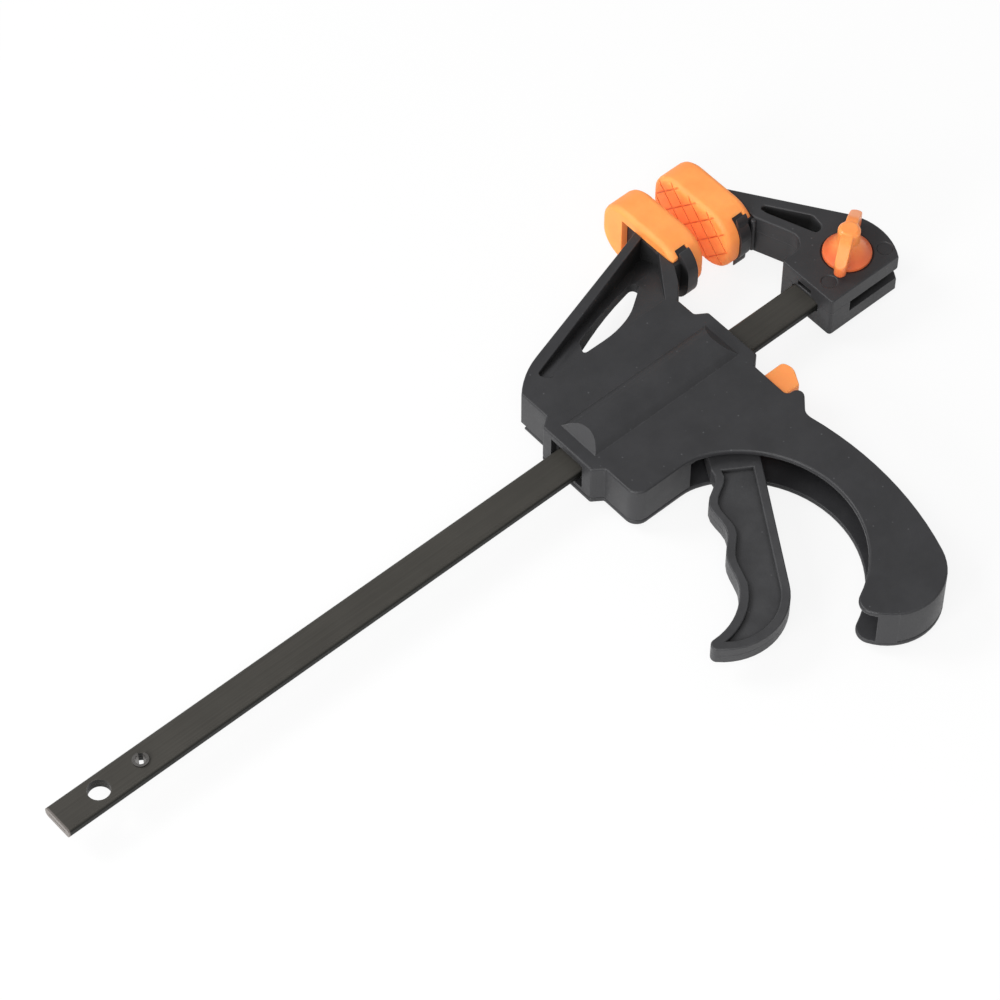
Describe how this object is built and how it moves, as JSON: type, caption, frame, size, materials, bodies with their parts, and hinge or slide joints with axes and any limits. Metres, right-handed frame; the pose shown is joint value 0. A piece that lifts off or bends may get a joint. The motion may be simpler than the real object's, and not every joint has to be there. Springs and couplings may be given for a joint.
{
  "type": "quick release bar clamp",
  "caption": "One-handed quick release bar clamp with a squeeze trigger, release button, padded jaws and a pinned end jaw held by a wing knob.",
  "frame": {"origin": "middle of the hanging hole near the bar's free end, halfway through the bar's thickness", "axes": "+X along the bar from the hanging hole to the fixed jaw, +Y across the bar from the handle to the pads, +Z through the bar's flat side, out of the side that carries the wing knob"},
  "size_m": [0.2974, 0.1624, 0.0288],
  "materials": {
    "black_steel": "black oxide with a satin sheen",
    "bright_steel": "plain steel, lightly brushed",
    "black_plastic": "fine spark-eroded moulding texture, satin",
    "orange_plastic": "smooth moulded, satin gloss",
    "orange_rubber": "soft moulded caps with a crosshatched face"
  },
  "bodies": {
    "bar": {"bar": "black_steel", "stop_pin": "black_steel", "fixed_jaw": "black_plastic", "fixed_pad": "orange_rubber"},
    "knob": {"release_knob": "orange_plastic", "knob_pin": "bright_steel"},
    "carriage": {"jaw_body": "black_plastic", "cover": "black_plastic", "cover_screws": "bright_steel", "moving_pad": "orange_rubber", "trigger_pin": "bright_steel", "drive_spring": "bright_steel", "brake_spring": "bright_steel"},
    "trigger": {"trigger": "black_plastic"},
    "drive": {"drive_plate_rear": "bright_steel", "drive_plate_front": "bright_steel"},
    "brake": {"brake_plate": "bright_steel", "release_button": "orange_plastic"}
  },
  "joints": [
    {"name": "jaw_slide", "type": "slide", "parent": "bar", "child": "carriage", "axis": [1, 0, 0], "range_m": [-0.1487, 0.0072]},
    {"name": "trigger_pull", "type": "hinge", "parent": "carriage", "child": "trigger", "pos_m": [0.2027, -0.0218, 0], "axis": [0, 0, 1], "range_deg": [0, 24], "stiffness_Nm_per_rad": 0.5, "springref_deg": -11.46},
    {"name": "drive_travel", "type": "slide", "parent": "carriage", "child": "drive", "axis": [-1, 0, 0], "range_m": [0, 0.005], "deforming": ["drive_spring"]},
    {"name": "brake_release", "type": "hinge", "parent": "carriage", "child": "brake", "pos_m": [0.2153, 0.0104, 0], "axis": [0, 0, -1], "range_deg": [0, 6], "stiffness_Nm_per_rad": 1, "springref_deg": -5.73, "deforming": ["brake_spring"]},
    {"name": "knob_turn", "type": "hinge", "parent": "bar", "child": "knob", "pos_m": [0.2701, 0, 0], "axis": [0, 0, 1], "range_deg": [0, 90]}
  ],
  "couplings": [
    {"joint": "drive_travel", "follows": "trigger_pull", "m_per_rad": 0.01191}
  ]
}
